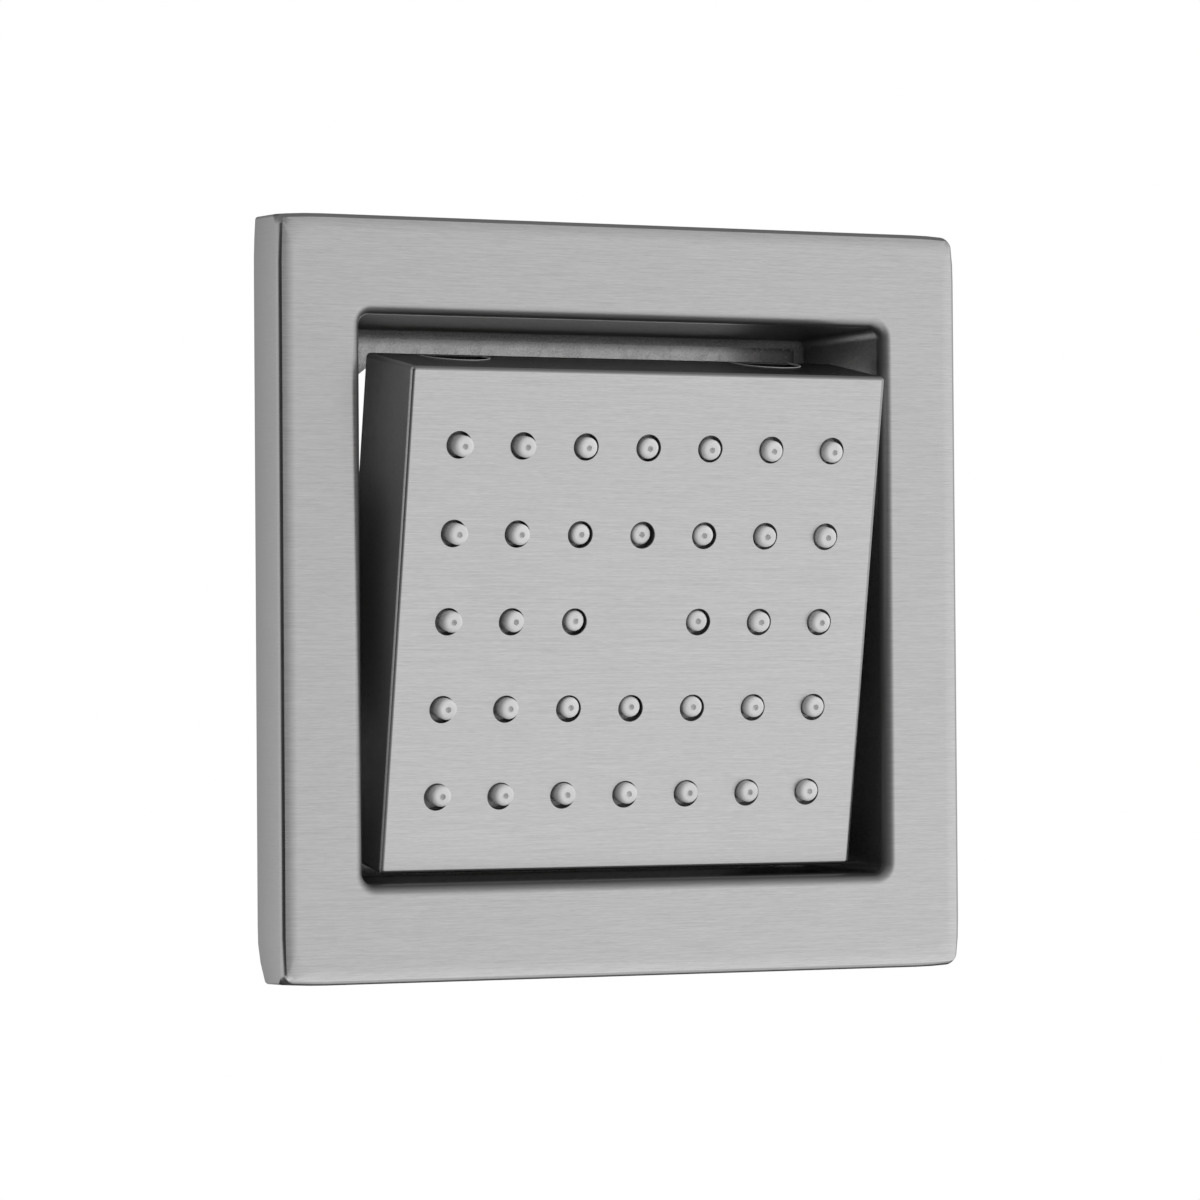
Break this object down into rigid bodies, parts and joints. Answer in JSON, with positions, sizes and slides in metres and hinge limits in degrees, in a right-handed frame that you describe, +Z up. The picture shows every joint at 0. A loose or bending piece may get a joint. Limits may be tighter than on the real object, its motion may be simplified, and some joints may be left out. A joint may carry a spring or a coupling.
{
  "type": "shower body jet",
  "caption": "Square flush shower body jet: brushed metal wall frame with a deep rolled-edge well, and a tilting spray head of soft nozzles on a ball joint.",
  "frame": {"origin": "centre of the frame on the plane of the wall, where the skirt of the frame meets it", "axes": "+Z up, +Y into the wall along the inlet, so the front of the jet looks along -Y, +X to the right seen from the front"},
  "size_m": [0.118, 0.0652, 0.118],
  "materials": {
    "brushed_metal": "brushed",
    "silicone": "matte",
    "foam": "closed-cell foam",
    "plated_steel": "zinc plated",
    "brass": "turned",
    "fibre": "fibre sheet",
    "white_plastic": "moulded",
    "black_rubber": "matte",
    "dark_plastic": "moulded"
  },
  "bodies": {
    "wall_side": {"wall_frame": "brushed_metal", "wall_gasket": "foam", "bridge_strap": "plated_steel", "bridge_screws": "plated_steel", "screw_washers": "plated_steel", "ball_inlet": "brass", "shoulder_washer": "fibre", "lock_washer": "plated_steel", "inlet_lock_nut": "brass", "flow_limiter": "white_plastic", "filter_screen": "plated_steel", "filter_ring": "black_rubber"},
    "swivel": {"slip_ring": "white_plastic"},
    "head": {"spray_face": "brushed_metal", "nozzle_mat": "silicone", "nozzle_plate": "dark_plastic", "chamber_seal": "black_rubber", "back_cover": "dark_plastic", "ball_seal": "black_rubber", "collar_nut": "dark_plastic", "cover_screws": "plated_steel"}
  },
  "joints": [
    {"name": "head_tilt", "type": "hinge", "parent": "wall_side", "child": "swivel", "pos_m": [0, 0.0078, 0], "axis": [1, 0, 0], "range_deg": [-20, 0]},
    {"name": "head_pan", "type": "hinge", "parent": "swivel", "child": "head", "pos_m": [0, 0.0078, 0], "axis": [0, -0.1736, 0.9848], "range_deg": [-5, 5]}
  ]
}
